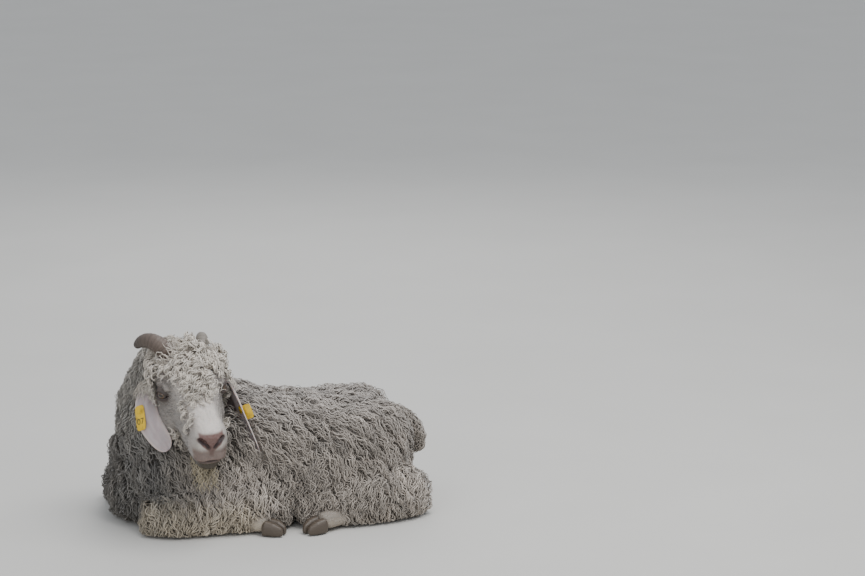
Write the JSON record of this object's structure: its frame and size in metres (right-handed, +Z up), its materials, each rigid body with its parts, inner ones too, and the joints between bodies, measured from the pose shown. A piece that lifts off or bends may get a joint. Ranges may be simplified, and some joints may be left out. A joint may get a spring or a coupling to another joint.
{
  "type": "angora goat model",
  "caption": "Life-size still model of an Angora goat lying down in full curly fleece, head turned to its left, with curled horns, hanging ears and plain ear tags.",
  "frame": {"origin": "centre of the whole model's box, at the floor that it lies on", "axes": "+Z up; the body's length lies along X with the chest towards -X and the tail towards +X; the goat's left side is towards -Y, and its head is turned that way"},
  "size_m": [0.6956, 0.526, 0.412],
  "materials": {
    "fleece": "matt curly mohair, greyish beige with darker gaps between the locks",
    "beard_hair": "matt hair, stained yellowish",
    "face_hair": "short white hair over pink skin at the nose and lips",
    "ear_skin": "soft matt skin in thin short hair",
    "horn": "dull ridged horn",
    "hoof": "dull dark hoof horn",
    "eye": "glossy wet eye",
    "tag_plastic": "smooth yellow plastic"
  },
  "bodies": {
    "root": {"torso": "fleece", "neck": "fleece", "foreleg_left": "fleece", "foreleg_right": "fleece", "hindleg_left": "fleece", "hindleg_right": "fleece", "tail": "fleece", "beard": "beard_hair", "head": "face_hair", "ear_left": "ear_skin", "ear_right": "ear_skin", "horn_left": "horn", "horn_right": "horn", "eye_left": "eye", "eye_right": "eye", "ear_tag_left": "tag_plastic", "ear_tag_right": "tag_plastic", "claw_fore_left_inner": "hoof", "claw_fore_left_outer": "hoof", "claw_fore_right_inner": "hoof", "claw_fore_right_outer": "hoof", "claw_hind_left_inner": "hoof", "claw_hind_left_outer": "hoof", "claw_hind_right_inner": "hoof", "claw_hind_right_outer": "hoof"}
  },
  "joints": []
}
